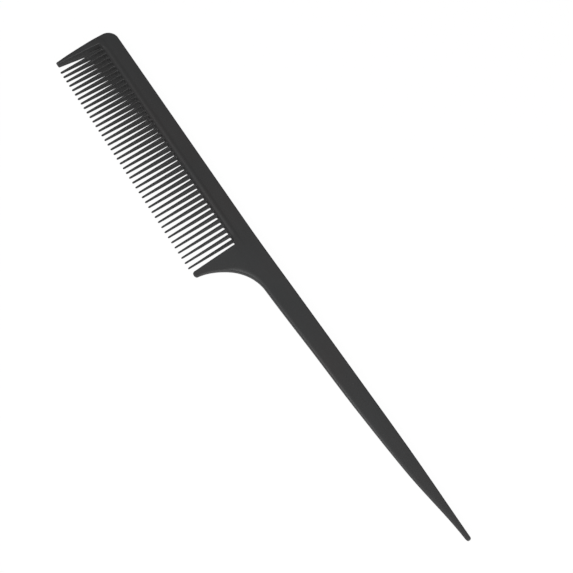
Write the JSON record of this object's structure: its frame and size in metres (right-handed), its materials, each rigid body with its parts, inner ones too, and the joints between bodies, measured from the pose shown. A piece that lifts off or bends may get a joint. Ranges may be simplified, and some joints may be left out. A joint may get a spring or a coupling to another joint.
{
  "type": "rat tail comb",
  "caption": "Flat black salon comb with a row of fine teeth between two guards and a long tail that narrows to a point.",
  "frame": {"origin": "on the underside, at the middle of the comb's length and of its overall width", "axes": "+X along the comb from the toe to the point of the tail, -Y the way the teeth point, +Z through the thickness, up from the face it lies on"},
  "size_m": [0.2188, 0.0274, 0.004],
  "materials": {
    "comb_plastic": "satin black moulded plastic with a fine grain"
  },
  "bodies": {
    "root": {"toe_guard": "comb_plastic", "spine": "comb_plastic", "heel_guard": "comb_plastic", "tail": "comb_plastic", "tooth_01": "comb_plastic", "tooth_02": "comb_plastic", "tooth_03": "comb_plastic", "tooth_04": "comb_plastic", "tooth_05": "comb_plastic", "tooth_06": "comb_plastic", "tooth_07": "comb_plastic", "tooth_08": "comb_plastic", "tooth_09": "comb_plastic", "tooth_10": "comb_plastic", "tooth_11": "comb_plastic", "tooth_12": "comb_plastic", "tooth_13": "comb_plastic", "tooth_14": "comb_plastic", "tooth_15": "comb_plastic", "tooth_16": "comb_plastic", "tooth_17": "comb_plastic", "tooth_18": "comb_plastic", "tooth_19": "comb_plastic", "tooth_20": "comb_plastic", "tooth_21": "comb_plastic", "tooth_22": "comb_plastic", "tooth_23": "comb_plastic", "tooth_24": "comb_plastic", "tooth_25": "comb_plastic", "tooth_26": "comb_plastic", "tooth_27": "comb_plastic", "tooth_28": "comb_plastic", "tooth_29": "comb_plastic", "tooth_30": "comb_plastic", "tooth_31": "comb_plastic", "tooth_32": "comb_plastic", "tooth_33": "comb_plastic", "tooth_34": "comb_plastic", "tooth_35": "comb_plastic", "tooth_36": "comb_plastic", "tooth_37": "comb_plastic", "tooth_38": "comb_plastic", "tooth_39": "comb_plastic", "tooth_40": "comb_plastic", "tooth_41": "comb_plastic", "tooth_42": "comb_plastic"}
  },
  "joints": []
}
